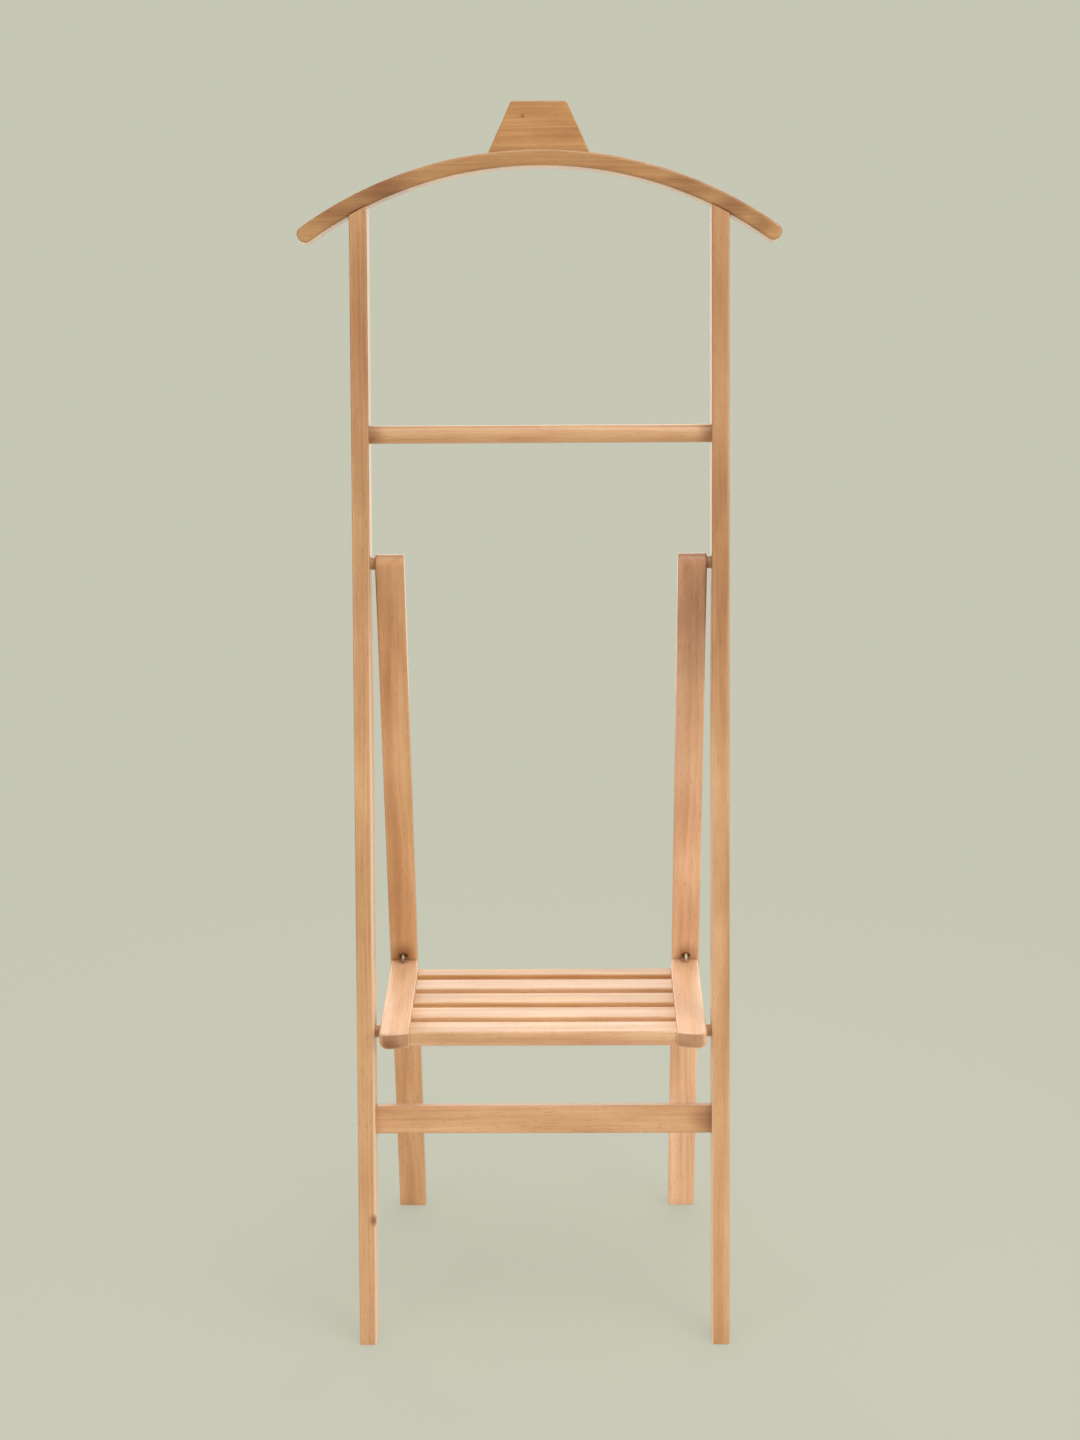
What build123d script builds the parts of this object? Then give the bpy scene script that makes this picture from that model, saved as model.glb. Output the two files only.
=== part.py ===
from build123d import *
import os
from math import asin, atan2, cos, degrees, hypot, radians, sin, sqrt

os.makedirs("parts", exist_ok=True)

# Folding wooden valet stand, in millimetres: X to the right, Y to the back, Z up.
# The origin is on the floor, midway between the front and the rear feet.
# "Along" runs up the leaning front frame from its feet, "behind" runs back from its front face.

# Stance and fold
base_depth = 337.0
lean_angle = 11.0
seat_height = 311.0
fold_angle = 21.85

# Clearances
glue_gap = 0.05
end_gap = 0.5
pivot_clearance = 0.08
side_gap = 4.0

# Uprights
frame_width = 365.0
upright_width = 17.2
upright_depth = 36.0
upright_edge = 2.0

# Hanger: one arched board across the tops of the uprights
hanger_crown = 1166.0
hanger_thickness = 15.5
hanger_depth = 30.0
hanger_under_span = 453.0
hanger_under_radius = 378.5
hanger_top_radius = 400.0
hanger_end_radius = 8.0
hanger_edge = 3.0
hanger_dowel_diameter = 8.0
hanger_dowel_in_upright = 22.0
hanger_dowel_in_hanger = 11.0

# Headpiece standing on the crown of the hanger
head_base_width = 98.2
head_top_width = 53.3
head_height = 46.4
head_thickness = 18.0
head_corner = 3.0
head_edge = 2.0
head_dowel_diameter = 6.0
head_dowel_spacing = 56.0
head_dowel_in_head = 16.0
head_dowel_in_hanger = 9.0

# Trouser bar and front stretcher between the uprights
bar_diameter = 17.5
bar_along = 894.7
bar_behind = 18.0
bar_socket = 10.0
stretcher_along = 223.2
stretcher_setback = 8.0
stretcher_height = 27.5
stretcher_thickness = 14.0
stretcher_edge = 2.0
stretcher_tenon_height = 20.0
stretcher_tenon_thickness = 7.0
stretcher_tenon_length = 9.0

# Rear legs, hung on dowels in the uprights
leg_width = 28.2
leg_thickness = 18.0
leg_edge = 2.0
pivot_along = 770.0
pivot_behind = 20.0
pivot_diameter = 12.0
pivot_socket = 12.0
pivot_in_leg = 20.0

# Seat rails, hooked over pegs in the uprights
rail_width = 29.2
rail_inset = 1.6
rail_thickness = 17.0
rail_nose_reach = 32.0
rail_rear_gap = 1.0
rail_edge = 1.5
nose_sweep = 5.0
nose_bulge = 1.5
nose_outer_corner = 9.0
nose_inner_corner = 2.0
nose_under_radius = 7.0
rear_under_radius = 13.0
peg_diameter = 12.0
peg_behind = 13.0
peg_drop = 8.5
peg_socket = 12.0
peg_in_rail = 12.0
peg_rest_gap = 0.3
hook_clearance = 0.5
hook_release_angle = 1.0

# Seat slats, tenoned into the rails
slat_count = 5
slat_width = 28.0
rear_slat_width = 19.5
slat_gap = 11.3
slat_thickness = 14.8
slat_setback = 7.6
slat_edge = 1.8
slat_tenon_length = 8.0
slat_tenon_thickness = 6.0
slat_tenon_shoulder = 3.0

# Linked wire eyes that hinge the seat on the rear legs
wire_diameter = 2.8
eye_play = 0.6
eye_standoff = 0.3
shank_diameter = 2.4
shank_depth = 11.0

# Lines across the width
upright_outer = frame_width / 2
upright_inner = upright_outer - upright_width
upright_middle = upright_outer - upright_width / 2
lane_outer = upright_inner - side_gap
leg_inner = lane_outer - leg_width
rail_outer = lane_outer - rail_inset
rail_inner = rail_outer - rail_width
stretcher_behind = stretcher_setback + stretcher_thickness / 2

# Planes of the leaning front frame
lean = radians(lean_angle)
frame_up = (0, sin(lean), cos(lean))
frame_back = (0, cos(lean), -sin(lean))
frame_front = (0, -cos(lean), sin(lean))
frame_axis = Axis((0, 0, 0), frame_up)
frame_middle = upright_depth / 2


def frame_point(x, along, behind):
    y = -base_depth / 2 + along * sin(lean) + behind * cos(lean)
    return (x, y, along * cos(lean) - behind * sin(lean))


def side_plane(x, along, behind):
    return Plane(origin=frame_point(x, along, behind), x_dir=frame_back, z_dir=(1, 0, 0))


def up_plane(x, along, behind):
    return Plane(origin=frame_point(x, along, behind), x_dir=(1, 0, 0), z_dir=frame_up)


front_plane = Plane(origin=frame_point(0, 0, 0), x_dir=(1, 0, 0), z_dir=frame_front)

# Arcs of the hanger in the front plane
under_centre = hanger_crown - hanger_thickness - hanger_under_radius
top_centre = hanger_crown - hanger_top_radius


def under_height(x, gap=0.0):
    return under_centre + sqrt((hanger_under_radius - gap) ** 2 - x**2)


def top_height(x, gap=0.0):
    return top_centre + sqrt((hanger_top_radius + gap) ** 2 - x**2)


# The ends of the hanger are cut square to its underside.
end_turn = asin(hanger_under_span / 2 / hanger_under_radius)
centre_step = under_centre - top_centre
end_reach = sqrt(hanger_top_radius**2 - (centre_step * sin(end_turn)) ** 2) - centre_step * cos(end_turn)
end_thickness = end_reach - hanger_under_radius
end_under = (hanger_under_span / 2, under_height(hanger_under_span / 2))
end_top = (end_reach * sin(end_turn), under_centre + end_reach * cos(end_turn))

# Pivot of the rear legs and the splay that puts their rear foot edge on the base line
pivot = frame_point(0, pivot_along, pivot_behind)
foot_back = base_depth / 2 - pivot[1]
foot_reach = hypot(foot_back, pivot[2])
splay = atan2(foot_back, pivot[2]) - asin(leg_thickness / 2 / foot_reach)
leg_down = (0, sin(splay), -cos(splay))
leg_back = (0, cos(splay), sin(splay))

# Hinge of the seat: the eye in the rail stands on the rail's top, round the front of the eye in the leg
eye_radius = wire_diameter + eye_play
eye_half = eye_radius + wire_diameter / 2
hinge_x = lane_outer - leg_width / 2
hinge_z = seat_height + eye_standoff + eye_half
hinge_ahead = leg_thickness / 2 + eye_standoff + eye_radius + eye_half
hinge_down = (pivot[2] - hinge_ahead * sin(splay) - hinge_z) / cos(splay)
hinge_y = pivot[1] + hinge_down * sin(splay) - hinge_ahead * cos(splay)
hinge = (hinge_x, hinge_y, hinge_z)

# Pegs under the seat, and the rails' ends
peg_z = seat_height - peg_drop
peg_along = (peg_z + peg_behind * sin(lean)) / cos(lean)
peg_y = frame_point(0, peg_along, peg_behind)[1]
rail_bottom = seat_height - rail_thickness
rail_nose = peg_y - rail_nose_reach
leg_face = pivot[1] + (pivot[2] - seat_height) * sin(splay) / cos(splay) - leg_thickness / 2 / cos(splay)
rail_rear = leg_face - rail_rear_gap
nose_inner = (rail_inner, rail_nose + nose_sweep)


# The seat turns up while the legs close, until it is parallel to them.
def swing(point, centre, angle):
    back = point[0] - centre[0]
    up = point[1] - centre[1]
    c = cos(radians(angle))
    s = sin(radians(angle))
    return (centre[0] + c * back + s * up, centre[1] - s * back + c * up)


# The hook's slot follows the way a peg leaves the rail as the fold begins.
seat_turn_ratio = (90 - degrees(splay)) / fold_angle
released = swing((peg_y, peg_z), (pivot[1], pivot[2]), -hook_release_angle)
released = swing(released, (hinge_y, hinge_z), -hook_release_angle * seat_turn_ratio)
hook_turn = atan2(peg_z - released[1], released[0] - peg_y)
hook_radius = peg_diameter / 2 + hook_clearance
hook_start = hook_clearance - peg_rest_gap
hook_end = (rail_thickness - peg_drop + 2 * hook_radius) / sin(hook_turn)
hook_middle = (hook_start + hook_end) / 2

# Slat positions from the nose backward
slat_widths = [slat_width] * (slat_count - 1) + [rear_slat_width]
slat_fronts = [rail_nose + slat_setback + i * (slat_width + slat_gap) for i in range(slat_count)]
slat_rows = [(front + width / 2, width) for front, width in zip(slat_fronts, slat_widths)]
slat_middle = seat_height - slat_thickness / 2
taper_start = slat_rows[-1][0] + slat_rows[-1][1] / 2

pieces = {}

# Right upright: its top is cut to the hanger's underside, its foot to the floor
with BuildPart() as upright_right:
    with BuildSketch(front_plane):
        with BuildLine():
            Line((upright_inner, 0), (upright_outer, 0))
            Line((upright_outer, 0), (upright_outer, under_height(upright_outer, glue_gap)))
            ThreePointArc(
                (upright_outer, under_height(upright_outer, glue_gap)),
                (upright_middle, under_height(upright_middle, glue_gap)),
                (upright_inner, under_height(upright_inner, glue_gap)),
            )
            Line((upright_inner, under_height(upright_inner, glue_gap)), (upright_inner, 0))
        make_face()
    extrude(amount=-upright_depth)
    split(bisect_by=Plane.XY, keep=Keep.TOP)
    fillet(upright_right.edges().filter_by(frame_axis), radius=upright_edge)
    with BuildSketch(side_plane(upright_inner, pivot_along, pivot_behind)):
        Circle(pivot_diameter / 2 + glue_gap)
    extrude(amount=pivot_socket, mode=Mode.SUBTRACT)
    with BuildSketch(side_plane(upright_inner, peg_along, peg_behind)):
        Circle(peg_diameter / 2 + glue_gap)
    extrude(amount=peg_socket, mode=Mode.SUBTRACT)
    with BuildSketch(side_plane(upright_inner, bar_along, bar_behind)):
        Circle(bar_diameter / 2 + glue_gap)
    extrude(amount=bar_socket, mode=Mode.SUBTRACT)
    with BuildSketch(side_plane(upright_inner, stretcher_along, stretcher_behind)):
        Rectangle(stretcher_tenon_thickness + 2 * glue_gap, stretcher_tenon_height + 2 * glue_gap)
    extrude(amount=stretcher_tenon_length + end_gap, mode=Mode.SUBTRACT)
    dowel_foot = under_height(upright_middle) - hanger_dowel_in_upright
    with BuildSketch(up_plane(upright_middle, dowel_foot, frame_middle)):
        Circle(hanger_dowel_diameter / 2 + glue_gap)
    extrude(amount=hanger_dowel_in_upright + upright_width, mode=Mode.SUBTRACT)
pieces["upright_right"] = upright_right

with BuildPart() as upright_left:
    mirror(upright_right.part, about=Plane.YZ)
pieces["upright_left"] = upright_left

# Hanger: two arcs that part toward rounded ends
with BuildPart() as hanger:
    with BuildSketch(front_plane.offset((hanger_depth - upright_depth) / 2)) as hanger_face:
        with BuildLine():
            ThreePointArc((-end_top[0], end_top[1]), (0, hanger_crown), end_top)
            Line(end_top, end_under)
            ThreePointArc(end_under, (0, hanger_crown - hanger_thickness), (-end_under[0], end_under[1]))
            Line((-end_under[0], end_under[1]), (-end_top[0], end_top[1]))
        make_face()
        fillet(hanger_face.vertices(), radius=min(hanger_end_radius, 0.48 * end_thickness))
    extrude(amount=-hanger_depth)
    fillet(hanger.faces().filter_by(Axis((0, 0, 0), frame_front)).edges(), radius=hanger_edge)
    for x in (-upright_middle, upright_middle):
        with BuildSketch(up_plane(x, under_height(x) - upright_width, frame_middle)):
            Circle(hanger_dowel_diameter / 2 + glue_gap)
        extrude(amount=upright_width + hanger_dowel_in_hanger, mode=Mode.SUBTRACT)
    for x in (-head_dowel_spacing / 2, head_dowel_spacing / 2):
        with BuildSketch(up_plane(x, top_height(x) - head_dowel_in_hanger, frame_middle)):
            Circle(head_dowel_diameter / 2 + glue_gap)
        extrude(amount=head_dowel_in_hanger + head_height, mode=Mode.SUBTRACT)
pieces["hanger"] = hanger

# Headpiece: a tapered block whose foot is coped to the crown
with BuildPart() as headpiece:
    with BuildSketch(front_plane.offset(head_thickness / 2 - frame_middle)) as head_face:
        with BuildLine():
            ThreePointArc(
                (-head_base_width / 2, top_height(head_base_width / 2, glue_gap)),
                (0, top_height(0, glue_gap)),
                (head_base_width / 2, top_height(head_base_width / 2, glue_gap)),
            )
            Polyline(
                (head_base_width / 2, top_height(head_base_width / 2, glue_gap)),
                (head_top_width / 2, hanger_crown + head_height),
                (-head_top_width / 2, hanger_crown + head_height),
                (-head_base_width / 2, top_height(head_base_width / 2, glue_gap)),
            )
        make_face()
        fillet(head_face.vertices().group_by(Axis.Y)[-1], radius=head_corner)
    extrude(amount=-head_thickness)
    head_outline = headpiece.faces().filter_by(Axis((0, 0, 0), frame_front)).edges()
    fillet(head_outline.sort_by(frame_axis)[2:], radius=head_edge)
    for x in (-head_dowel_spacing / 2, head_dowel_spacing / 2):
        with BuildSketch(up_plane(x, top_height(x) - head_dowel_in_hanger, frame_middle)):
            Circle(head_dowel_diameter / 2 + glue_gap)
        extrude(amount=head_dowel_in_hanger + head_dowel_in_head, mode=Mode.SUBTRACT)
pieces["headpiece"] = headpiece

# Dowels that hold the hanger on the uprights and the headpiece on the hanger
with BuildPart() as hanger_dowel_right:
    hanger_dowel_foot = under_height(upright_middle) - hanger_dowel_in_upright + end_gap
    with BuildSketch(up_plane(upright_middle, hanger_dowel_foot, frame_middle)):
        Circle(hanger_dowel_diameter / 2)
    extrude(amount=hanger_dowel_in_upright + hanger_dowel_in_hanger - 2 * end_gap)
pieces["hanger_dowel_right"] = hanger_dowel_right

with BuildPart() as hanger_dowel_left:
    mirror(hanger_dowel_right.part, about=Plane.YZ)
pieces["hanger_dowel_left"] = hanger_dowel_left

with BuildPart() as headpiece_dowel_right:
    head_dowel_foot = top_height(head_dowel_spacing / 2) - head_dowel_in_hanger + end_gap
    with BuildSketch(up_plane(head_dowel_spacing / 2, head_dowel_foot, frame_middle)):
        Circle(head_dowel_diameter / 2)
    extrude(amount=head_dowel_in_hanger + head_dowel_in_head - 2 * end_gap)
pieces["headpiece_dowel_right"] = headpiece_dowel_right

with BuildPart() as headpiece_dowel_left:
    mirror(headpiece_dowel_right.part, about=Plane.YZ)
pieces["headpiece_dowel_left"] = headpiece_dowel_left

# Trouser bar: a round bar let into both uprights
with BuildPart() as trouser_bar:
    with BuildSketch(side_plane(0, bar_along, bar_behind)):
        Circle(bar_diameter / 2)
    extrude(amount=upright_inner + bar_socket - end_gap, both=True)
pieces["trouser_bar"] = trouser_bar

# Front stretcher, with a stub tenon at each end
with BuildPart() as front_stretcher:
    with BuildSketch(side_plane(0, stretcher_along, stretcher_behind)):
        Rectangle(stretcher_thickness, stretcher_height)
    extrude(amount=upright_inner, both=True)
    fillet(front_stretcher.edges().filter_by(Axis.X), radius=stretcher_edge)
    with BuildSketch(side_plane(0, stretcher_along, stretcher_behind)):
        Rectangle(stretcher_tenon_thickness, stretcher_tenon_height)
    extrude(amount=upright_inner + stretcher_tenon_length, both=True)
pieces["front_stretcher"] = front_stretcher

# Dowels in the uprights: the legs turn on one pair, the seat hooks over the other
with BuildPart() as leg_pivot_right:
    with BuildSketch(side_plane(lane_outer - pivot_in_leg + end_gap, pivot_along, pivot_behind)):
        Circle(pivot_diameter / 2)
    extrude(amount=pivot_in_leg + side_gap + pivot_socket - 2 * end_gap)
pieces["leg_pivot_right"] = leg_pivot_right

with BuildPart() as leg_pivot_left:
    mirror(leg_pivot_right.part, about=Plane.YZ)
pieces["leg_pivot_left"] = leg_pivot_left

with BuildPart() as seat_peg_right:
    with BuildSketch(side_plane(rail_outer - peg_in_rail, peg_along, peg_behind)):
        Circle(peg_diameter / 2)
    extrude(amount=peg_in_rail + rail_inset + side_gap + peg_socket - end_gap)
pieces["seat_peg_right"] = seat_peg_right

with BuildPart() as seat_peg_left:
    mirror(seat_peg_right.part, about=Plane.YZ)
pieces["seat_peg_left"] = seat_peg_left

# Right rear leg: round head on the pivot, foot cut to the floor
with BuildPart() as rear_leg_right:
    with BuildSketch(Plane(origin=(leg_inner, pivot[1], pivot[2]), x_dir=leg_down, z_dir=(1, 0, 0))):
        Circle(leg_thickness / 2)
        Rectangle(foot_reach + leg_thickness, leg_thickness, align=(Align.MIN, Align.CENTER))
    extrude(amount=leg_width)
    split(bisect_by=Plane.XY, keep=Keep.TOP)
    leg_outline = rear_leg_right.faces().filter_by(Axis.X).edges()
    fillet(leg_outline.sort_by(Axis.Z)[2:], radius=leg_edge)
    with BuildSketch(Plane.YZ.offset(lane_outer)):
        with Locations((pivot[1], pivot[2])):
            Circle(pivot_diameter / 2 + pivot_clearance)
    extrude(amount=-pivot_in_leg, mode=Mode.SUBTRACT)
    with BuildSketch(Plane(origin=hinge, x_dir=(1, 0, 0), z_dir=leg_back)):
        Circle(shank_diameter / 2 + glue_gap)
    extrude(amount=hinge_ahead - leg_thickness / 2 + shank_depth + end_gap, mode=Mode.SUBTRACT)
pieces["rear_leg_right"] = rear_leg_right

with BuildPart() as rear_leg_left:
    mirror(rear_leg_right.part, about=Plane.YZ)
pieces["rear_leg_left"] = rear_leg_left

# Wire eye in the leg: it lies across the leg, with its shank square to the leg's face
with BuildPart() as leg_eye_right:
    ring_centre = Vector(*hinge) + Vector(*leg_back) * eye_radius
    with BuildSketch(Plane(origin=ring_centre, x_dir=leg_back, z_dir=(1, 0, 0))):
        with Locations((eye_radius, 0)):
            Circle(wire_diameter / 2)
    revolve(axis=Axis(ring_centre, leg_down))
    ring_back = ring_centre + Vector(*leg_back) * eye_radius
    with BuildSketch(Plane(origin=ring_back, x_dir=(1, 0, 0), z_dir=leg_back)):
        Circle(shank_diameter / 2)
    extrude(amount=wire_diameter / 2 + eye_standoff + shank_depth)
pieces["leg_eye_right"] = leg_eye_right

with BuildPart() as leg_eye_left:
    mirror(leg_eye_right.part, about=Plane.YZ)
pieces["leg_eye_left"] = leg_eye_left

# Wire eye in the rail: it stands upright on the rail, linked through the eye in the leg
with BuildPart() as rail_eye_right:
    with BuildSketch(Plane(origin=hinge, x_dir=(1, 0, 0), z_dir=(0, -1, 0))):
        with Locations((0, eye_radius)):
            Circle(wire_diameter / 2)
    revolve(axis=Axis(hinge, (1, 0, 0)))
    ring_foot = (hinge_x, hinge_y, hinge_z - eye_radius)
    with BuildSketch(Plane(origin=ring_foot, x_dir=(1, 0, 0), z_dir=(0, 0, -1))):
        Circle(shank_diameter / 2)
    extrude(amount=wire_diameter / 2 + eye_standoff + shank_depth)
pieces["rail_eye_right"] = rail_eye_right

with BuildPart() as rail_eye_left:
    mirror(rail_eye_right.part, about=Plane.YZ)
pieces["rail_eye_left"] = rail_eye_left

# Right seat rail: rounded nose, drawn in to the leg at the rear, with a blind hook slot in its outer face
with BuildPart() as seat_rail_right:
    with BuildSketch(Plane.XY.offset(rail_bottom)) as rail_plan:
        with BuildLine():
            Polyline(
                nose_inner,
                (rail_inner, taper_start),
                (leg_inner, rail_rear),
                (rail_outer, rail_rear),
                (rail_outer, rail_nose),
            )
            ThreePointArc(
                (rail_outer, rail_nose),
                ((rail_outer + rail_inner) / 2, rail_nose + nose_sweep / 2 - nose_bulge),
                nose_inner,
            )
        make_face()
        fillet(rail_plan.vertices().sort_by(Axis.Y)[0], radius=nose_outer_corner)
    extrude(amount=rail_thickness)
    nose_under_edge = seat_rail_right.faces().sort_by(Axis.Z)[0].edges().sort_by(Axis.Y)[0]
    fillet(nose_under_edge, radius=min(nose_under_radius, 0.8 * nose_outer_corner))
    upright_edges = seat_rail_right.edges().filter_by(Axis.Z)
    fillet(upright_edges.sort_by_distance((*nose_inner, seat_height))[0], radius=nose_inner_corner)
    fillet(seat_rail_right.faces().sort_by(Axis.Z)[-1].edges(), radius=rail_edge)
    with BuildSketch(Plane.YZ.offset(rail_inner)) as rail_side:
        with Locations((rail_rear, rail_bottom)):
            Rectangle(rail_rear - rail_nose + nose_bulge, rail_thickness, align=(Align.MAX, Align.MIN))
        rear_corner = rail_side.vertices().group_by(Axis.X)[-1].sort_by(Axis.Y)[0]
        fillet(rear_corner, radius=min(rear_under_radius, rail_thickness - 2 * rail_edge))
    extrude(amount=rail_width, mode=Mode.INTERSECT)
    for middle, width in slat_rows:
        with BuildSketch(Plane.YZ.offset(rail_inner)):
            with Locations((middle, slat_middle)):
                mortise_width = width - 2 * slat_tenon_shoulder + 2 * glue_gap
                Rectangle(mortise_width, slat_tenon_thickness + 2 * glue_gap)
        extrude(amount=slat_tenon_length + end_gap, mode=Mode.SUBTRACT)
    with BuildSketch(Plane.YZ.offset(rail_outer)):
        with Locations((peg_y + hook_middle * cos(hook_turn), peg_z - hook_middle * sin(hook_turn))):
            SlotCenterToCenter(hook_end - hook_start, 2 * hook_radius, rotation=-degrees(hook_turn))
    extrude(amount=-peg_in_rail - end_gap, mode=Mode.SUBTRACT)
    with BuildSketch(Plane.XY.offset(seat_height)):
        with Locations((hinge_x, hinge_y)):
            Circle(shank_diameter / 2 + glue_gap)
    extrude(amount=-shank_depth - end_gap, mode=Mode.SUBTRACT)
pieces["seat_rail_right"] = seat_rail_right

with BuildPart() as seat_rail_left:
    mirror(seat_rail_right.part, about=Plane.YZ)
pieces["seat_rail_left"] = seat_rail_left

# Seat slats from front to rear, the last one narrower
for number, (middle, width) in enumerate(slat_rows, start=1):
    with BuildPart() as seat_slat:
        with BuildSketch(Plane.YZ):
            with Locations((middle, slat_middle)):
                Rectangle(width, slat_thickness)
        extrude(amount=rail_inner, both=True)
        fillet(seat_slat.edges().filter_by(Axis.X), radius=slat_edge)
        with BuildSketch(Plane.YZ):
            with Locations((middle, slat_middle)):
                Rectangle(width - 2 * slat_tenon_shoulder, slat_tenon_thickness)
        extrude(amount=rail_inner + slat_tenon_length, both=True)
    pieces[f"seat_slat_{number}"] = seat_slat

for name, piece in pieces.items():
    piece.part.label = name
    export_step(piece.part, f"parts/{name}.step")
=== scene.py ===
from math import cos, radians, sin

import bpy
from bpy.props import FloatProperty, FloatVectorProperty, PointerProperty
from mathutils import Matrix, Vector


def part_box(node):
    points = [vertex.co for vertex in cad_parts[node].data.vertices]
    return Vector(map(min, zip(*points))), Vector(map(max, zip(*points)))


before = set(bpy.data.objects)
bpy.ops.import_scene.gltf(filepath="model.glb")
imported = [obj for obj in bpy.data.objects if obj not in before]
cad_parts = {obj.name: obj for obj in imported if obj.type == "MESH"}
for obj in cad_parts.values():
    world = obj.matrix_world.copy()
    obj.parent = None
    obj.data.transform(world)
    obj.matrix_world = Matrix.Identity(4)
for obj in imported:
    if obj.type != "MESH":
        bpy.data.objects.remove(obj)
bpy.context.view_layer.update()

bl_info = {
    "name": "Folding valet stand",
    "version": (1, 0, 0),
    "blender": (4, 5, 0),
    "location": "View3D > Sidebar > Valet stand",
    "description": "Dresses the folding wooden valet stand and sets its studio",
    "category": "Object",
}

# Directions of the fibres: along the leaning front frame, along the splayed rear legs, across the stand, to its back
LEAN = radians(11.0)
FRAME_UP = (0.0, sin(LEAN), cos(LEAN))
SPLAY = radians(12.1)
LEG_UP = (0.0, -sin(SPLAY), cos(SPLAY))
ACROSS = (1.0, 0.0, 0.0)
TO_BACK = (0.0, 1.0, 0.0)

# Sizes of the wood's broad patterns along and across the grain, in mm: drift of the bands, figure, rosy clouds
DRIFT_SIZE = (384.615, 90.909)
FIGURE_SIZE = (125.0, 26.316)
BLUSH_SIZE = (200.0, 22.222)
# How far the growth bands wander, in metres
BAND_WANDER = 0.016

# What growth bands, fibres and figure add to the tone, and how far from its middle the darkest and palest tones lie
BAND_SHARE = 0.6
FIBRE_SHARE = 0.55
FIGURE_SHARE = 1.1
TONE_REACH = 0.43

# Where the pores' pattern starts and is full, and how much of the pores' colour it then shows
PORE_START, PORE_FULL, PORE_DEPTH = 0.60, 0.74, 0.38
# The same for the rosy clouds, and their tint
BLUSH_START, BLUSH_FULL, BLUSH_DEPTH = 0.35, 0.65, 0.8
BLUSH_TINT = (1.02, 0.965, 1.0, 1.0)
# How squarely a surface cuts the fibres where end grain starts to show and where it shows fully
END_START, END_FULL = 0.55, 0.95
# How uneven the rim of a knot, smoky patch or painted shade is, and where it starts and ends, in radii
MARK_RAGGED, MARK_START, MARK_END = 0.9, 0.55, 1.45
# The same for the inner limit of the painted edge highlight, in depths, and the length over which it ends upwards,
# in metres
HIGHLIGHT_RAGGED, HIGHLIGHT_START, HIGHLIGHT_END, HIGHLIGHT_FADE = 0.8, 0.4, 1.5, 0.1

# Relief of the oiled surface: how much deeper pores lie than fibres, the bump's strength and its height in metres
PORE_RELIEF, BUMP_STRENGTH, BUMP_HEIGHT = -1.6, 0.22, 0.0004
# How far the wood's roughness goes up and down with the fibres
SHEEN_SWING = 0.1
WOOD_IOR = 1.5
# The film of oil: how much of it lies on the wood, and its roughness
OIL_COAT, OIL_ROUGHNESS = 0.2, 0.22

# Mottle of the wire: its size in mm, the shade of its dark spots, and how far the roughness falls and rises with it
MOTTLE_SIZE, MOTTLE_SHADE = 1.4, 0.72
MOTTLE_FALL, MOTTLE_RISE = 0.08, 0.1
# Painted shade on the left rail eye: what is left of the plating's brightness there
LEFT_EYE_SHADE = 0.6

# The floor: its radius, how far it lies below the feet, where the shadow starts and ends to fade, in metres
FLOOR_RADIUS, FLOOR_DROP = 9.0, 0.0005
SHADOW_NEAR, SHADOW_FAR = 0.3, 1.3
# How much of the shaded paper shows near the stand, and how much darker than the backdrop it is
SHADOW_SHARE, PAPER_SHADE = 0.3, 0.86


def linear(code):
    """Turn an sRGB hex colour into linear red, green and blue."""
    channels = [int(code[i : i + 2], 16) / 255 for i in (1, 3, 5)]
    return [c / 12.92 if c <= 0.04045 else ((c + 0.055) / 1.055) ** 2.4 for c in channels]


class ValetWood(bpy.types.PropertyGroup):
    """Colours and grain sizes of the oiled hardwood."""

    streak: FloatVectorProperty(
        name="Streak",
        description="Darkest growth bands",
        subtype="COLOR",
        default=linear("#AF7C4D"),
    )
    heart: FloatVectorProperty(
        name="Heartwood",
        description="Main colour of the wood",
        subtype="COLOR",
        default=linear("#C99968"),
    )
    pale: FloatVectorProperty(
        name="Pale bands",
        description="Lightest growth bands",
        subtype="COLOR",
        default=linear("#DAB07F"),
    )
    pore: FloatVectorProperty(
        name="Pores",
        description="Oil-darkened pores and end grain",
        subtype="COLOR",
        default=linear("#85572F"),
    )
    # Painted highlight: the pale strip along an edge stands in for light caught by the rounded edge
    edge_highlight: FloatVectorProperty(
        name="Highlight",
        description="Pale outer wood along an edge",
        subtype="COLOR",
        default=linear("#EDD5B6"),
    )
    # Also the tint of the painted shade that some marks lay on the wood
    stain_and_shade: FloatVectorProperty(
        name="Stain",
        description="What knots and smoky patches leave of the colour",
        subtype="COLOR",
        default=linear("#B5997C"),
    )
    ring_width: FloatProperty(
        name="Ring width",
        description="Usual width of a growth band, in mm",
        default=5.0,
        min=0.5,
    )
    fibre_width: FloatProperty(
        name="Fibre width",
        description="Width of a fibre streak, in mm",
        default=1.3,
        min=0.1,
    )
    fibre_length: FloatProperty(
        name="Fibre length",
        description="Length of a fibre streak, in mm",
        default=75.0,
        min=1.0,
    )
    pore_width: FloatProperty(
        name="Pore width",
        description="Width of a pore, in mm, drawn coarse enough to show",
        default=0.7,
        min=0.1,
    )
    pore_length: FloatProperty(
        name="Pore length",
        description="Length of a pore, in mm",
        default=9.0,
        min=0.5,
    )
    roughness: FloatProperty(
        name="Roughness",
        description="Mean roughness of the oiled surface",
        subtype="FACTOR",
        default=0.36,
    )


class ValetSteel(bpy.types.PropertyGroup):
    """Colours and finish of the wire eyes."""

    plated: FloatVectorProperty(
        name="Plated",
        description="Colour of the plated eyes on the rails",
        subtype="COLOR",
        default=linear("#E2D3C6"),
    )
    # Painted shade: the eyes in the legs are the same steel, coloured dark as if in shadow
    shadowed: FloatVectorProperty(
        name="Shadowed",
        description="Colour of the bronzed eyes in the legs",
        subtype="COLOR",
        default=linear("#80603F"),
    )
    roughness: FloatProperty(
        name="Roughness",
        description="Roughness of the drawn wire",
        subtype="FACTOR",
        default=0.34,
    )


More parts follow.
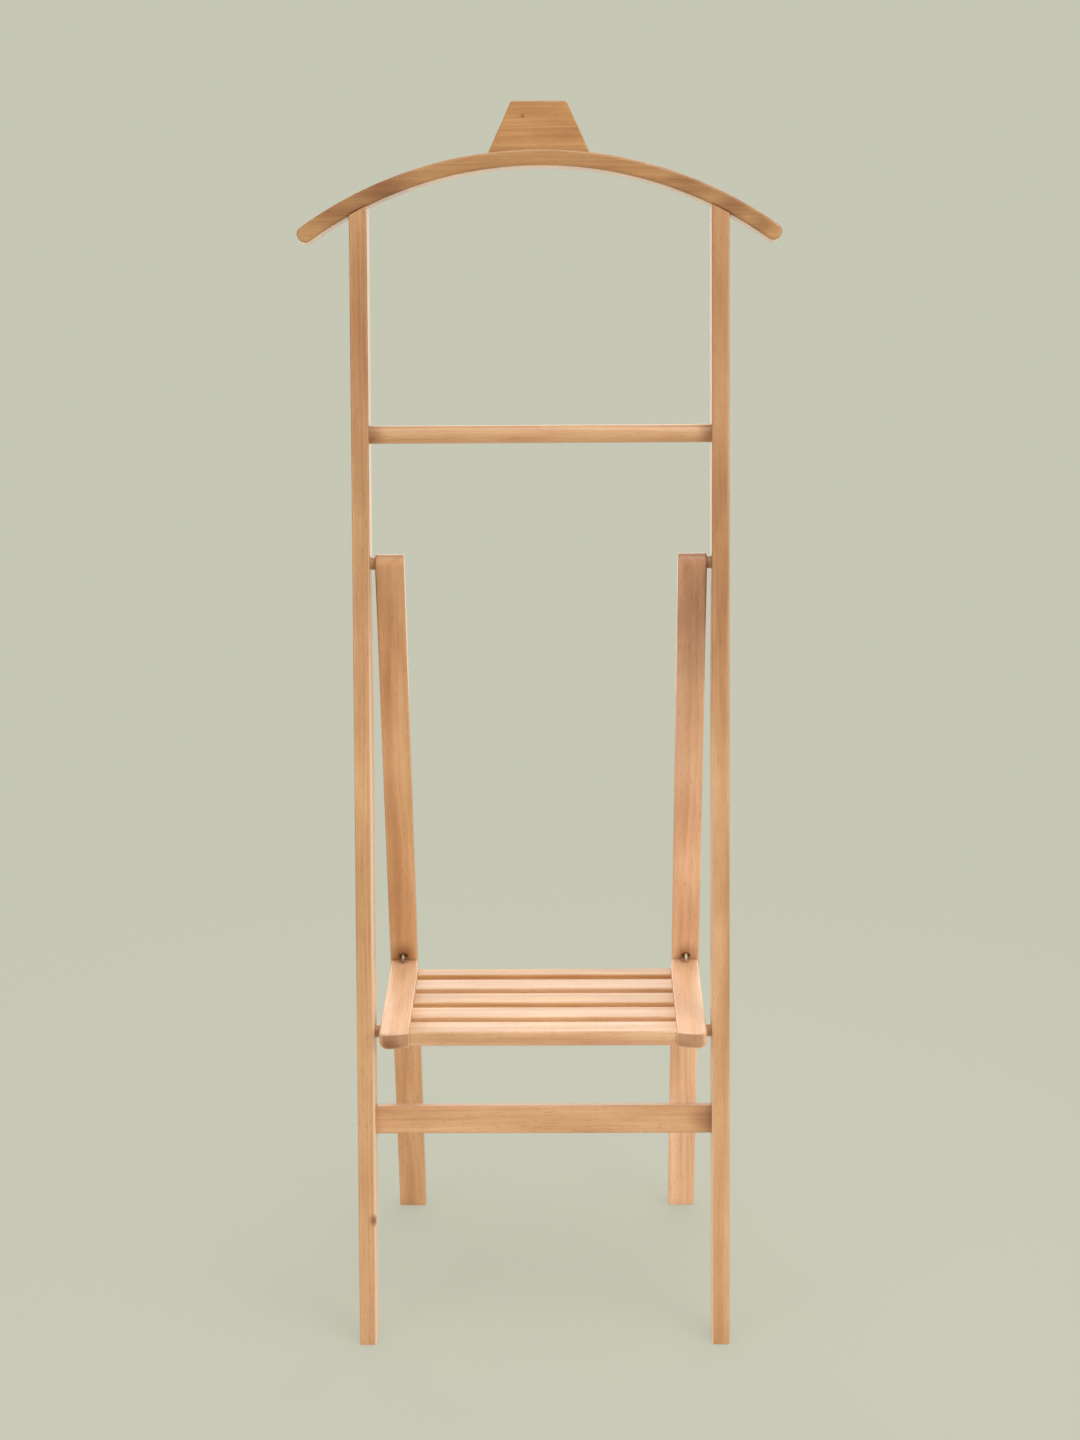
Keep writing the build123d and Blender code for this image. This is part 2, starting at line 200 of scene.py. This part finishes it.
class ValetStudio(bpy.types.PropertyGroup):
    """Floor, light and camera."""

    sage: FloatVectorProperty(
        name="Backdrop",
        description="Colour of the floor and backdrop",
        subtype="COLOR",
        default=linear("#C6C7B5"),
    )
    bounce: FloatVectorProperty(
        name="Bounce",
        description="Colour of the light that the floor throws back",
        subtype="COLOR",
        default=linear("#EBE8E0"),
    )
    warm: FloatVectorProperty(
        name="Warm",
        description="Colour of the low light behind",
        subtype="COLOR",
        default=linear("#FFF3E6"),
    )
    eye_point: FloatVectorProperty(
        name="Camera",
        description="Place of the camera",
        subtype="XYZ",
        unit="LENGTH",
        default=(0.0284, -2.6279, 1.3089),
    )
    pitch: FloatProperty(
        name="Pitch",
        description="Downward tilt of the camera",
        unit="ROTATION",
        default=radians(15.24),
    )
    yaw: FloatProperty(
        name="Yaw",
        description="Turn of the camera about the vertical",
        unit="ROTATION",
        default=radians(-0.664),
    )
    roll: FloatProperty(
        name="Roll",
        description="Turn of the camera about its axis",
        unit="ROTATION",
        default=radians(-0.415),
    )
    lens: FloatProperty(
        name="Lens",
        description="Focal length on a 36 mm long side, in mm",
        default=68.83,
    )
    key_power: FloatProperty(
        name="Key light",
        description="Power of the soft box above",
        unit="POWER",
        default=46.0,
    )
    left_power: FloatProperty(
        name="Left light",
        description="Power of the soft box at the front left",
        unit="POWER",
        default=11.0,
    )
    right_power: FloatProperty(
        name="Right light",
        description="Power of the soft box at the front right",
        unit="POWER",
        default=22.0,
    )
    back_power: FloatProperty(
        name="Back light",
        description="Power of the soft box behind",
        unit="POWER",
        default=54.0,
    )
    low_power: FloatProperty(
        name="Low light",
        description="Power of the low soft box behind",
        unit="POWER",
        default=21.0,
    )
    ambient: FloatProperty(
        name="Ambient",
        description="Strength of the light from all round",
        default=0.68,
    )


def add(tree, kind, sockets=None, **settings):
    """Add a node, set its properties, and link or set its input sockets."""
    node = tree.nodes.new(kind)
    for key, value in settings.items():
        setattr(node, key, value)
    for key, value in (sockets or {}).items():
        if isinstance(value, bpy.types.NodeSocket):
            tree.links.new(value, node.inputs[key])
        else:
            node.inputs[key].default_value = value
    return node


def new_material(name):
    """Make a material with an empty node tree."""
    material = bpy.data.materials.new(name)
    material.use_nodes = True
    material.node_tree.nodes.clear()
    return material


def dress(node, material):
    """Give a node of the frame its material."""
    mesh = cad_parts[node].data
    mesh.materials.clear()
    mesh.materials.append(material)


def shade(colour, warmth, light):
    """Lighten a colour, and warm it by taking from its blue and a little from its green."""
    return (colour[0] * light, colour[1] * light / warmth**0.25, colour[2] * light / warmth, 1.0)


def repeats(length, width):
    """Turn a pattern's sizes along and across the grain, in mm, into repeats per metre."""
    return (1000 / length, 1000 / width, 1000 / width)


def oiled_acacia(name, grain, pith, warmth=1.0, light=1.0, bands=1.0, end=0.3, edge_highlight=None, marks=()):
    """Oiled acacia, planed and sanded: soft honey bands, fine fibre streaks, short dark pores, a satin sheen.

    grain is the direction of the fibres, pith the place of the tree's centre beside the board, in metres.
    The pattern is solid, so end grain shows the growth rings, and it drinks more oil and is darker.
    end is how dark, and marks are knots, smoky patches and painted shade, each a place, a radius and a strength.
    A painted highlight, a pale strip along an edge, is given by its x, its depth, its strength and the height at
    which it ends."""
    wood = bpy.context.scene.valet_wood
    material = new_material(name)
    tree = material.node_tree
    coords = add(tree, "ShaderNodeTexCoord")
    turn = Vector(grain).rotation_difference(Vector(ACROSS)).to_euler()
    board = add(
        tree,
        "ShaderNodeMapping",
        {"Vector": coords.outputs["Object"], "Location": pith, "Rotation": turn},
    ).outputs["Vector"]

    # Growth bands: rings about the pith, which wander along the board and vary in width
    drift_space = add(tree, "ShaderNodeVectorMath", {0: board, 1: repeats(*DRIFT_SIZE)}, operation="MULTIPLY")
    drift = add(tree, "ShaderNodeTexNoise", {"Vector": drift_space.outputs[0], "Scale": 1.0, "Detail": 2.0})
    from_pith = add(tree, "ShaderNodeVectorMath", {0: board, 1: (0.0, 1.0, 1.0)}, operation="MULTIPLY")
    wander = add(
        tree,
        "ShaderNodeVectorMath",
        {0: drift.outputs["Color"], 1: (0.0, BAND_WANDER, BAND_WANDER), 2: from_pith.outputs[0]},
        operation="MULTIPLY_ADD",
    )
    reach = add(tree, "ShaderNodeVectorMath", {0: wander.outputs[0]}, operation="LENGTH")
    ring_count = add(
        tree,
        "ShaderNodeMath",
        {0: reach.outputs["Value"], 1: 1000 / wood.ring_width},
        operation="MULTIPLY",
    )
    rings = add(
        tree,
        "ShaderNodeTexNoise",
        {"W": ring_count.outputs[0], "Scale": 1.0, "Detail": 3.0, "Roughness": 0.6},
        noise_dimensions="1D",
    )

    # Fibre streaks, drawn coarser than single fibres so that they show, and the broad figure of light and dark
    fibre_scale = repeats(wood.fibre_length, wood.fibre_width)
    fibre_space = add(tree, "ShaderNodeVectorMath", {0: board, 1: fibre_scale}, operation="MULTIPLY")
    fibres = add(
        tree,
        "ShaderNodeTexNoise",
        {"Vector": fibre_space.outputs[0], "Scale": 1.0, "Detail": 4.0, "Roughness": 0.62},
    )
    figure_space = add(tree, "ShaderNodeVectorMath", {0: board, 1: repeats(*FIGURE_SIZE)}, operation="MULTIPLY")
    figure = add(tree, "ShaderNodeTexNoise", {"Vector": figure_space.outputs[0], "Scale": 1.0, "Detail": 3.0})

    # The tone is the sum of all three, and the colour follows the tone
    band_share = BAND_SHARE * bands
    banded = add(tree, "ShaderNodeMath", {0: rings.outputs["Fac"], 1: band_share}, operation="MULTIPLY")
    streaked = add(
        tree,
        "ShaderNodeMath",
        {0: fibres.outputs["Fac"], 1: FIBRE_SHARE, 2: banded.outputs[0]},
        operation="MULTIPLY_ADD",
    )
    toned = add(
        tree,
        "ShaderNodeMath",
        {0: figure.outputs["Fac"], 1: FIGURE_SHARE, 2: streaked.outputs[0]},
        operation="MULTIPLY_ADD",
    )
    middle_tone = 0.5 * (band_share + FIBRE_SHARE + FIGURE_SHARE)
    spread = add(
        tree,
        "ShaderNodeMapRange",
        {
            "Value": toned.outputs[0],
            "From Min": middle_tone - TONE_REACH,
            "From Max": middle_tone + TONE_REACH,
        },
    )
    ramp = add(tree, "ShaderNodeValToRGB", {"Fac": spread.outputs[0]})
    ramp.color_ramp.elements[0].color = shade(wood.streak, warmth, light)
    ramp.color_ramp.elements[1].color = shade(wood.pale, warmth, light)
    middle = ramp.color_ramp.elements.new(0.5)
    middle.color = shade(wood.heart, warmth, light)

    # Pores, drawn wider than the real ones so that they show
    pore_scale = repeats(wood.pore_length, wood.pore_width)
    pore_space = add(tree, "ShaderNodeVectorMath", {0: board, 1: pore_scale}, operation="MULTIPLY")
    pore_noise = add(tree, "ShaderNodeTexNoise", {"Vector": pore_space.outputs[0], "Scale": 1.0, "Detail": 1.0})
    pores = add(
        tree,
        "ShaderNodeMapRange",
        {
            "Value": pore_noise.outputs["Fac"],
            "From Min": PORE_START,
            "From Max": PORE_FULL,
            "To Max": PORE_DEPTH,
        },
    )
    colour = add(
        tree,
        "ShaderNodeMix",
        {0: pores.outputs[0], 6: ramp.outputs["Color"], 7: shade(wood.pore, warmth, light)},
        data_type="RGBA",
    ).outputs[2]

    # Rosy clouds
    blush_space = add(tree, "ShaderNodeVectorMath", {0: board, 1: repeats(*BLUSH_SIZE)}, operation="MULTIPLY")
    blush = add(tree, "ShaderNodeTexNoise", {"Vector": blush_space.outputs[0], "Scale": 1.0, "Detail": 2.0})
    rosy = add(
        tree,
        "ShaderNodeMapRange",
        {
            "Value": blush.outputs["Fac"],
            "From Min": BLUSH_START,
            "From Max": BLUSH_FULL,
            "To Max": BLUSH_DEPTH,
        },
    )
    colour = add(
        tree,
        "ShaderNodeMix",
        {0: rosy.outputs[0], 6: colour, 7: BLUSH_TINT},
        data_type="RGBA",
        blend_type="MULTIPLY",
    ).outputs[2]

    # End grain, where the surface cuts the fibres
    facing = add(
        tree,
        "ShaderNodeVectorMath",
        {0: coords.outputs["Normal"], 1: Vector(grain).normalized()},
        operation="DOT_PRODUCT",
    )
    sawn = add(tree, "ShaderNodeMath", {0: facing.outputs["Value"]}, operation="ABSOLUTE")
    end_grain = add(
        tree,
        "ShaderNodeMapRange",
        {"Value": sawn.outputs[0], "From Min": END_START, "From Max": END_FULL, "To Max": end},
        interpolation_type="SMOOTHSTEP",
    )
    colour = add(
        tree,
        "ShaderNodeMix",
        {0: end_grain.outputs[0], 6: colour, 7: (*wood.pore, 1.0)},
        data_type="RGBA",
    ).outputs[2]

    # Painted highlight: a pale strip along an edge with a wavy inner limit, up to its height
    if edge_highlight:
        edge, depth, strength, top = edge_highlight
        axes = add(tree, "ShaderNodeSeparateXYZ", {0: coords.outputs["Object"]})
        beside = add(tree, "ShaderNodeMath", {0: axes.outputs["X"], 1: edge}, operation="SUBTRACT")
        inward = add(tree, "ShaderNodeMath", {0: beside.outputs[0]}, operation="ABSOLUTE")
        wavy = add(
            tree,
            "ShaderNodeMath",
            {0: figure.outputs["Fac"], 1: HIGHLIGHT_RAGGED * depth, 2: inward.outputs[0]},
            operation="MULTIPLY_ADD",
        )
        pale_edge = add(
            tree,
            "ShaderNodeMapRange",
            {
                "Value": wavy.outputs[0],
                "From Min": HIGHLIGHT_START * depth,
                "From Max": HIGHLIGHT_END * depth,
                "To Min": strength,
                "To Max": 0.0,
            },
            interpolation_type="SMOOTHSTEP",
        )
        below = add(
            tree,
            "ShaderNodeMapRange",
            {
                "Value": axes.outputs["Z"],
                "From Min": top - HIGHLIGHT_FADE,
                "From Max": top + HIGHLIGHT_FADE,
                "To Min": 1.0,
                "To Max": 0.0,
            },
            interpolation_type="SMOOTHSTEP",
        )
        outer = add(tree, "ShaderNodeMath", {0: pale_edge.outputs[0], 1: below.outputs[0]}, operation="MULTIPLY")
        colour = add(
            tree,
            "ShaderNodeMix",
            {0: outer.outputs[0], 6: colour, 7: (*wood.edge_highlight, 1.0)},
            data_type="RGBA",
        ).outputs[2]

    # Knots, smoky patches and painted shade, with ragged rims
    for place, radius, strength in marks:
        away = add(tree, "ShaderNodeVectorMath", {0: coords.outputs["Object"], 1: place}, operation="DISTANCE")
        ragged = add(
            tree,
            "ShaderNodeMath",
            {0: figure.outputs["Fac"], 1: MARK_RAGGED * radius, 2: away.outputs["Value"]},
            operation="MULTIPLY_ADD",
        )
        mark = add(
            tree,
            "ShaderNodeMapRange",
            {
                "Value": ragged.outputs[0],
                "From Min": MARK_START * radius,
                "From Max": MARK_END * radius,
                "To Min": strength,
                "To Max": 0.0,
            },
            interpolation_type="SMOOTHSTEP",
        )
        colour = add(
            tree,
            "ShaderNodeMix",
            {0: mark.outputs[0], 6: colour, 7: (*wood.stain_and_shade, 1.0)},
            data_type="RGBA",
            blend_type="MULTIPLY",
        ).outputs[2]

    # Satin sheen of the oil, a little duller between the fibres, over a fine relief
    sheen = add(
        tree,
        "ShaderNodeMapRange",
        {
            "Value": fibres.outputs["Fac"],
            "To Min": wood.roughness + SHEEN_SWING,
            "To Max": wood.roughness - SHEEN_SWING,
        },
    )
    relief = add(
        tree,
        "ShaderNodeMath",
        {0: pores.outputs[0], 1: PORE_RELIEF, 2: fibres.outputs["Fac"]},
        operation="MULTIPLY_ADD",
    )
    bump = add(
        tree,
        "ShaderNodeBump",
        {"Height": relief.outputs[0], "Strength": BUMP_STRENGTH, "Distance": BUMP_HEIGHT},
    )
    surface = add(
        tree,
        "ShaderNodeBsdfPrincipled",
        {
            "Base Color": colour,
            "Roughness": sheen.outputs[0],
            "Normal": bump.outputs["Normal"],
            "IOR": WOOD_IOR,
            "Coat Weight": OIL_COAT,
            "Coat Roughness": OIL_ROUGHNESS,
        },
    )
    add(tree, "ShaderNodeOutputMaterial", {"Surface": surface.outputs[0]})
    return material


def steel_wire(name, tint, roughness):
    """Steel wire, drawn, bent and plated, or darkened as painted shade: a metal with a faint mottle that softens its
    highlights.
    """
    material = new_material(name)
    tree = material.node_tree
    coords = add(tree, "ShaderNodeTexCoord")
    mottle = add(
        tree,
        "ShaderNodeTexNoise",
        {"Vector": coords.outputs["Object"], "Scale": 1000 / MOTTLE_SIZE, "Detail": 3.0},
    )
    ramp = add(tree, "ShaderNodeValToRGB", {"Fac": mottle.outputs["Fac"]})
    ramp.color_ramp.elements[0].color = [MOTTLE_SHADE * c for c in tint] + [1.0]
    ramp.color_ramp.elements[1].color = list(tint) + [1.0]
    finish = add(
        tree,
        "ShaderNodeMapRange",
        {
            "Value": mottle.outputs["Fac"],
            "To Min": roughness - MOTTLE_FALL,
            "To Max": roughness + MOTTLE_RISE,
        },
    )
    surface = add(
        tree,
        "ShaderNodeBsdfPrincipled",
        {"Base Color": ramp.outputs["Color"], "Roughness": finish.outputs[0], "Metallic": 1.0},
    )
    add(tree, "ShaderNodeOutputMaterial", {"Surface": surface.outputs[0]})
    return material


class VALET_OT_front_frame(bpy.types.Operator):
    """Dress the uprights, the hanger, the headpiece, the bar, the stretcher and their dowels"""

    bl_idname = "valet.front_frame"
    bl_label = "Front frame"

    def execute(self, context):
        self.uprights()
        self.hanger()
        self.bars()
        # Painted shade: the dowels are written darker, as they sit in the shade between parts
        dowels = oiled_acacia("acacia_dowel", ACROSS, (5.0, 0.1, -0.5), light=0.75)
        for name in ("leg_pivot", "seat_peg", "hanger_dowel", "headpiece_dowel"):
            dress(name + "_left", dowels)
            dress(name + "_right", dowels)
        return {"FINISHED"}

    def uprights(self):
        """Both uprights: darker towards the top as painted shade, with a painted highlight along the inner edge, the
        right one faintly darker in its middle, and a knot near the left foot
        """
        knot = ((-0.1661, -0.1447, 0.1224), 0.008, 1.0)
        # Painted shade darkening the upper part, and a painted highlight along the inner edge
        left_top_shade = ((-0.174, 0.01, 0.9), 0.42, 0.46)
        left_edge = (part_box("upright_left")[1][0], 0.003, 0.62, 0.7)
        left = oiled_acacia(
            "acacia_upright_left",
            FRAME_UP,
            (0.3, 0.19, 0.03),
            light=0.91,
            edge_highlight=left_edge,
            marks=[knot, left_top_shade],
        )
        dress("upright_left", left)
        # Painted shade darkening the upper part, a faint darker patch in the middle, and a painted highlight along
        # the inner edge
        right_top_shade = ((0.174, 0.04, 1.02), 0.62, 0.48)
        right_middle = ((0.174, -0.06, 0.46), 0.26, 0.13)
        right_edge = (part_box("upright_right")[0][0], 0.0016, 0.6, 0.6)
        right = oiled_acacia(
            "acacia_upright_right",
            FRAME_UP,
            (1.7, -0.14, 0.05),
            light=0.94,
            edge_highlight=right_edge,
            marks=[right_top_shade, right_middle],
        )
        dress("upright_right", right)

    def hanger(self):
        """The hanger with darker patches towards its ends, and the headpiece with one dark speck; both are written
        darker, partly their own tone and partly painted shade of the stand's top
        """
        dark_end_patches = [
            ((-0.150, 0.055, 1.105), 0.048, 0.8),
            ((-0.192, 0.049, 1.086), 0.034, 0.45),
            ((0.142, 0.055, 1.109), 0.032, 0.4),
            ((0.186, 0.050, 1.089), 0.026, 0.52),
            ((0.214, 0.047, 1.073), 0.018, 0.5),
        ]
        # Written darker and warmer: partly the hanger's own tone, partly painted shade
        hanger = oiled_acacia(
            "acacia_hanger",
            ACROSS,
            (0.6, -0.06, -1.05),
            warmth=1.34,
            light=0.655,
            marks=dark_end_patches,
        )
        dress("hanger", hanger)
        speck = ((-0.0155, 0.0688, 1.1737), 0.0024, 0.9)
        headpiece = oiled_acacia(
            "acacia_headpiece",
            ACROSS,
            (2.4, -0.01, -1.11),
            warmth=1.48,
            light=0.725,
            bands=1.4,
            marks=[speck],
        )
        dress("headpiece", headpiece)

    def bars(self):
        """The trouser bar and the stretcher, with painted shade at the joints"""
        # Painted shade where the bar meets the uprights
        bar_end_shade = [((-0.164, 0.014, 0.876), 0.016, 0.5), ((0.164, 0.014, 0.876), 0.016, 0.5)]
        bar = oiled_acacia(
            "acacia_bar",
            ACROSS,
            (3.1, -0.02, -0.85),
            warmth=0.92,
            light=0.915,
            marks=bar_end_shade,
        )
        dress("trouser_bar", bar)
        # Painted shade at the stretcher's right end, and faintly along its middle
        shaded = [((0.162, -0.118, 0.217), 0.026, 0.6), ((0.07, -0.118, 0.217), 0.14, 0.13)]
        stretcher = oiled_acacia(
            "acacia_stretcher",
            ACROSS,
            (4.2, 0.15, -0.19),
            warmth=0.94,
            light=0.99,
            marks=shaded,
        )
        dress("front_stretcher", stretcher)


class VALET_OT_rear_legs(bpy.types.Operator):
    """Dress the rear legs and the eyes in them"""

    bl_idname = "valet.rear_legs"
    bl_label = "Rear legs"

    def execute(self, context):
        # Painted shade on each leg: darker at its pivot and in its middle, and a painted shadow just above the rail
        # at its eye
        left_marks = [
            ((-0.147, -0.012, 0.745), 0.09, 0.3),
            ((-0.147, 0.05, 0.46), 0.26, 0.16),
            ((-0.147, 0.086, 0.318), 0.02, 0.6),
        ]
        left = oiled_acacia("acacia_leg_left", LEG_UP, (0.9, 0.17, 0.04), light=1.03, marks=left_marks)
        dress("rear_leg_left", left)
        right_marks = [
            ((0.147, -0.012, 0.745), 0.16, 0.62),
            ((0.147, 0.035, 0.55), 0.25, 0.28),
            ((0.147, 0.086, 0.318), 0.018, 0.5),
        ]
        # The right leg is written paler: partly its own tone, partly painted light on its lower part
        right = oiled_acacia(
            "acacia_leg_right",
            LEG_UP,
            (2.2, -0.11, 0.06),
            warmth=0.74,
            light=1.25,
            marks=right_marks,
        )
        dress("rear_leg_right", right)
        steel = context.scene.valet_steel
        # Painted shade: the leg eyes are coloured dark as if in shadow
        wire = steel_wire("shadowed_steel_leg_eye", steel.shadowed, steel.roughness)
        dress("leg_eye_left", wire)
        dress("leg_eye_right", wire)
        return {"FINISHED"}


class VALET_OT_seat(bpy.types.Operator):
    """Dress the seat rails, the slats and the eyes on the rails"""

    bl_idname = "valet.seat"
    bl_label = "Seat"

    def execute(self, context):
        self.rails()
        self.slats()
        steel = context.scene.valet_steel
        # Painted shade: the left rail eye is the same plating, darkened
        shade_painted = [LEFT_EYE_SHADE * c for c in steel.plated]
        dress("rail_eye_left", steel_wire("shade_painted_steel_rail_eye", shade_painted, steel.roughness))
        dress("rail_eye_right", steel_wire("plated_steel_rail_eye", steel.plated, steel.roughness))
        return {"FINISHED"}

    def rails(self):
        """Both rails, pale, with faint bands and dark end grain at their noses"""
        left_nose = ((-0.152, -0.132, 0.297), 0.02, 0.9)
        left = oiled_acacia(
            "acacia_rail_left",
            TO_BACK,
            (0.4, 0.12, -0.27),
            warmth=0.75,
            light=1.21,
            bands=0.5,
            end=0.6,
            marks=[left_nose],
        )
        dress("seat_rail_left", left)
        right_nose = ((0.136, -0.131, 0.298), 0.015, 0.4)
        right = oiled_acacia(
            "acacia_rail_right",
            TO_BACK,
            (1.5, -0.19, -0.28),
            warmth=0.75,
            light=1.23,
            bands=0.5,
            end=0.6,
            marks=[right_nose],
        )
        dress("seat_rail_right", right)

    def slats(self):
        """The slats from front to rear, each from another board, with its own warmth and lightness"""
        tones = ((0.82, 1.04), (0.83, 1.08), (1.04, 1.01), (0.82, 1.05), (1.4, 0.89))
        for number, (warmth, light) in enumerate(tones, start=1):
            # Each board comes from further along the trunk and from another side of its centre
            pith = (1.3 * number, 0.11 - 0.05 * number, -0.26)
            slat = oiled_acacia(f"acacia_slat_{number}", ACROSS, pith, warmth=warmth, light=light)
            dress(f"seat_slat_{number}", slat)


class VALET_OT_studio(bpy.types.Operator):
    """Lay the floor, set the lights and the camera"""

    bl_idname = "valet.studio"
    bl_label = "Studio"

    def execute(self, context):
        studio = context.scene.valet_studio
        context.scene.view_settings.view_transform = "Standard"
        self.floor(studio)
        self.world(context.scene, studio)
        self.lamp("key_light", (0.6, -0.6, 3.3), (0.0, 0.0, 0.4), (2.6, 2.6), studio.key_power)
        self.lamp("left_light", (-1.9, -2.0, 1.3), (0.0, 0.0, 0.4), (1.4, 0.9), studio.left_power)
        self.lamp("right_light", (1.9, -2.0, 1.3), (0.0, 0.0, 0.4), (1.4, 0.9), studio.right_power)
        self.lamp("back_light", (0.0, 3.2, 2.05), (0.0, 0.0, 0.35), (4.6, 2.0), studio.back_power)
        self.lamp(
            "low_light",
            (0.0, 2.75, 0.46),
            (0.0, 1.75, 1.46),
            (4.6, 1.26),
            studio.low_power,
            studio.warm,
        )
        self.camera(context.scene, studio)
        return {"FINISHED"}

    def shown_rays(self, tree):
        """Which rays show the plain backdrop: those seen straight, mirrored or through glass"""
        path = add(tree, "ShaderNodeLightPath")
        bent = add(
            tree,
            "ShaderNodeMath",
            {0: path.outputs["Is Glossy Ray"], 1: path.outputs["Is Transmission Ray"]},
            operation="MAXIMUM",
        )
        shown = add(
            tree,
            "ShaderNodeMath",
            {0: path.outputs["Is Camera Ray"], 1: bent.outputs[0]},
            operation="MAXIMUM",
        )
        return shown.outputs[0]

    def floor(self, studio):
        """A round floor that shows the stand's soft shadow and fades into the backdrop"""
        mesh = bpy.data.meshes.new("floor")
        corners = [
            (FLOOR_RADIUS * cos(radians(a)), FLOOR_RADIUS * sin(radians(a)), -FLOOR_DROP)
            for a in range(0, 360, 5)
        ]
        mesh.from_pydata(corners, [], [list(range(len(corners)))])
        floor = bpy.data.objects.new("floor", mesh)
        bpy.context.scene.collection.objects.link(floor)
        # Matt paper: no gloss, one plain colour; the light that it throws back comes from a paler sheet
        material = new_material("matt_paper_floor")
        tree = material.node_tree
        coords = add(tree, "ShaderNodeTexCoord")
        away = add(tree, "ShaderNodeVectorMath", {0: coords.outputs["Object"]}, operation="LENGTH")
        near = add(
            tree,
            "ShaderNodeMapRange",
            {
                "Value": away.outputs["Value"],
                "From Min": SHADOW_NEAR,
                "From Max": SHADOW_FAR,
                "To Min": SHADOW_SHARE,
                "To Max": 0.0,
            },
            interpolation_type="SMOOTHSTEP",
        )
        paper = add(tree, "ShaderNodeBsdfDiffuse", {"Color": (*(PAPER_SHADE * c for c in studio.sage), 1.0)})
        paler = add(tree, "ShaderNodeBsdfDiffuse", {"Color": (*studio.bounce, 1.0)})
        plain = add(tree, "ShaderNodeEmission", {"Color": (*studio.sage, 1.0), "Strength": 1.0})
        seen = add(tree, "ShaderNodeMixShader", {0: near.outputs[0], 1: plain.outputs[0], 2: paper.outputs[0]})
        mixed = add(
            tree,
            "ShaderNodeMixShader",
            {0: self.shown_rays(tree), 1: paler.outputs[0], 2: seen.outputs[0]},
        )
        add(tree, "ShaderNodeOutputMaterial", {"Surface": mixed.outputs[0]})
        mesh.materials.append(material)

    def world(self, scene, studio):
        """Plain soft light from all round, with the backdrop's colour where it is seen"""
        world = bpy.data.worlds.new("studio")
        scene.world = world
        world.use_nodes = True
        tree = world.node_tree
        tree.nodes.clear()
        soft = add(tree, "ShaderNodeBackground", {"Color": (1.0, 1.0, 1.0, 1.0), "Strength": studio.ambient})
        backdrop = add(tree, "ShaderNodeBackground", {"Color": (*studio.sage, 1.0), "Strength": 1.0})
        mixed = add(
            tree,
            "ShaderNodeMixShader",
            {0: self.shown_rays(tree), 1: soft.outputs[0], 2: backdrop.outputs[0]},
        )
        add(tree, "ShaderNodeOutputWorld", {"Surface": mixed.outputs[0]})

    def lamp(self, name, place, aim, size, power, colour=(1.0, 1.0, 1.0)):
        """A soft box of a width and a height that faces its aim"""
        data = bpy.data.lights.new(name, "AREA")
        data.shape = "RECTANGLE"
        data.size, data.size_y = size
        data.energy = power
        data.color = colour
        lamp = bpy.data.objects.new(name, data)
        lamp.visible_camera = False
        lamp.location = place
        lamp.rotation_euler = (Vector(aim) - Vector(place)).to_track_quat("-Z", "Y").to_euler()
        bpy.context.scene.collection.objects.link(lamp)

    def camera(self, scene, studio):
        """The camera in front of the stand, looking down on the seat"""
        pitch, yaw, roll = studio.pitch, studio.yaw, studio.roll
        forward = Vector((cos(pitch) * sin(yaw), cos(pitch) * cos(yaw), -sin(pitch)))
        right = Vector((cos(yaw), -sin(yaw), 0.0))
        up = right.cross(forward)
        turned_right = cos(roll) * right + sin(roll) * up
        turned_up = cos(roll) * up - sin(roll) * right
        facing = Matrix((turned_right, turned_up, -forward)).transposed().to_4x4()
        data = bpy.data.cameras.new("camera")
        data.sensor_width = 36.0
        data.lens = studio.lens
        data.clip_end = 50.0
        camera = bpy.data.objects.new("camera", data)
        camera.matrix_world = Matrix.Translation(studio.eye_point) @ facing
        scene.collection.objects.link(camera)
        scene.camera = camera


class VALET_PT_panel(bpy.types.Panel):
    """Sidebar panel of the valet stand"""

    bl_idname = "VALET_PT_panel"
    bl_label = "Valet stand"
    bl_space_type = "VIEW_3D"
    bl_region_type = "UI"
    bl_category = "Valet stand"

    def draw(self, context):
        for operator in OPERATORS:
            self.layout.operator(operator.bl_idname)
        for group in (context.scene.valet_wood, context.scene.valet_steel, context.scene.valet_studio):
            column = self.layout.column()
            for key in group.__annotations__:
                column.prop(group, key)


OPERATORS = (VALET_OT_front_frame, VALET_OT_rear_legs, VALET_OT_seat, VALET_OT_studio)
GROUPS = {"valet_wood": ValetWood, "valet_steel": ValetSteel, "valet_studio": ValetStudio}


def register():
    for group in GROUPS.values():
        bpy.utils.register_class(group)
    for key, group in GROUPS.items():
        setattr(bpy.types.Scene, key, PointerProperty(type=group))
    for operator in OPERATORS:
        bpy.utils.register_class(operator)
    bpy.utils.register_class(VALET_PT_panel)


def unregister():
    bpy.utils.unregister_class(VALET_PT_panel)
    for operator in reversed(OPERATORS):
        bpy.utils.unregister_class(operator)
    for key in GROUPS:
        delattr(bpy.types.Scene, key)
    for group in reversed(list(GROUPS.values())):
        bpy.utils.unregister_class(group)


def main():
    register()
    bpy.ops.valet.front_frame()
    bpy.ops.valet.rear_legs()
    bpy.ops.valet.seat()
    bpy.ops.valet.studio()


if __name__ == "__main__":
    main()
